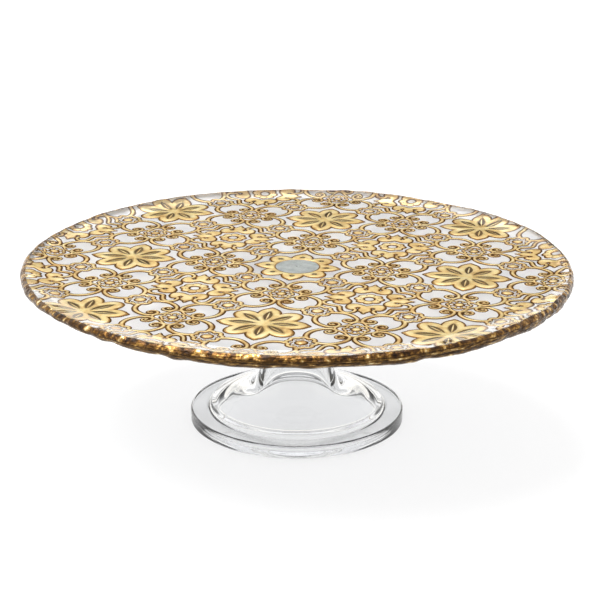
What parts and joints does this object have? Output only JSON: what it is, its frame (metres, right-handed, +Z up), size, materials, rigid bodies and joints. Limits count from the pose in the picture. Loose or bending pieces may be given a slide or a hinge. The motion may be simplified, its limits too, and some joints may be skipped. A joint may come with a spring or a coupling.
{
  "type": "footed cake stand",
  "caption": "Footed glass cake stand: round serving plate with a gilded tile relief seen through clear glass, an upturned gilded rim and a clear flared pedestal foot.",
  "frame": {"origin": "on the table, under the middle of the foot", "axes": "+Z up along the axis of the stem, plate and foot; X and Y along the rows of the tile pattern"},
  "size_m": [0.3329, 0.333, 0.1022],
  "materials": {
    "plate_glass": "clear hand-worked glass, gloss",
    "pearl_coat": "pearl white coat, soft sheen",
    "gold_relief": "pale gilt relief, satin",
    "bronze_line": "dark bronze in the shade of the relief",
    "amber_gold": "amber gold coat on rippled glass, gloss",
    "clear_bond": "clear cured bond, faintly grey",
    "foot_glass": "clear pressed glass, gloss"
  },
  "bodies": {
    "root": {"glass_plate": "plate_glass", "pearl_ground": "pearl_coat", "gold_stars": "gold_relief", "gold_scrolls": "gold_relief", "gold_rings": "gold_relief", "gold_rosettes": "gold_relief", "gold_frames": "gold_relief", "rim_coat": "amber_gold", "bond_disc": "clear_bond", "glass_foot": "foot_glass"}
  },
  "joints": []
}
